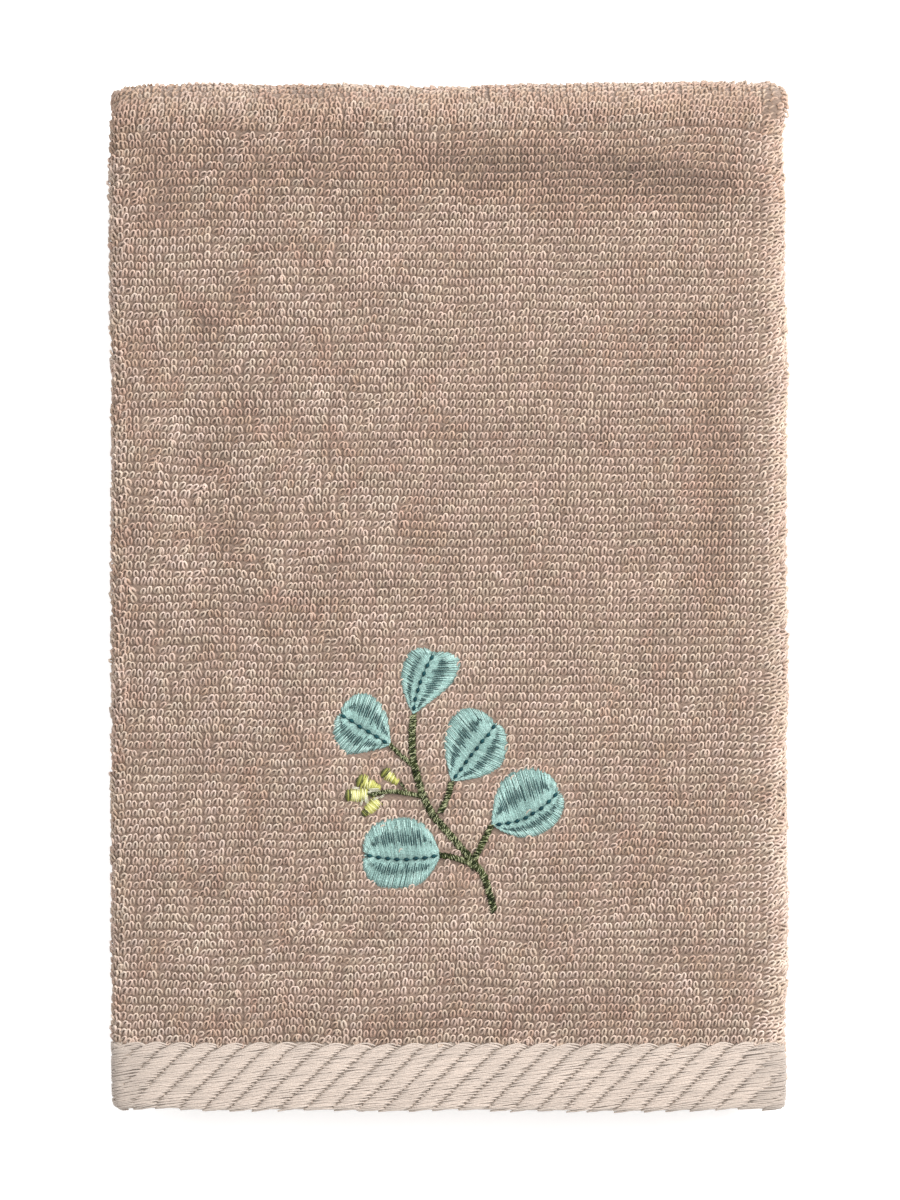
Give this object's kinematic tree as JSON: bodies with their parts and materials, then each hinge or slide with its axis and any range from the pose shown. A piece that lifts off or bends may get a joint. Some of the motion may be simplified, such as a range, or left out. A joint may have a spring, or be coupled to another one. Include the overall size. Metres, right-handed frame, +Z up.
{
  "type": "hand towel",
  "caption": "Terry hand towel folded in thirds both ways, face up, with a woven band of diagonal ribs along its front hem and a leaf sprig embroidered above it.",
  "frame": {"origin": "under the middle of the folded towel, on the surface it lies on", "axes": "+X to the right and +Y to the top fold, seen from above with the ribbed hem nearest; +Z up out of the face"},
  "size_m": [0.1356, 0.2064, 0.028],
  "materials": {
    "terry": "looped cotton pile, matt, warm taupe",
    "band": "flat woven cotton with raised diagonal ribs, cream",
    "leaf_thread": "satin-stitched embroidery thread, soft sheen, pale teal",
    "stem_thread": "satin-stitched embroidery thread, dark olive",
    "berry_thread": "satin-stitched embroidery thread, yellow green"
  },
  "bodies": {
    "root": {"towel_cloth": "terry"}
  },
  "joints": []
}
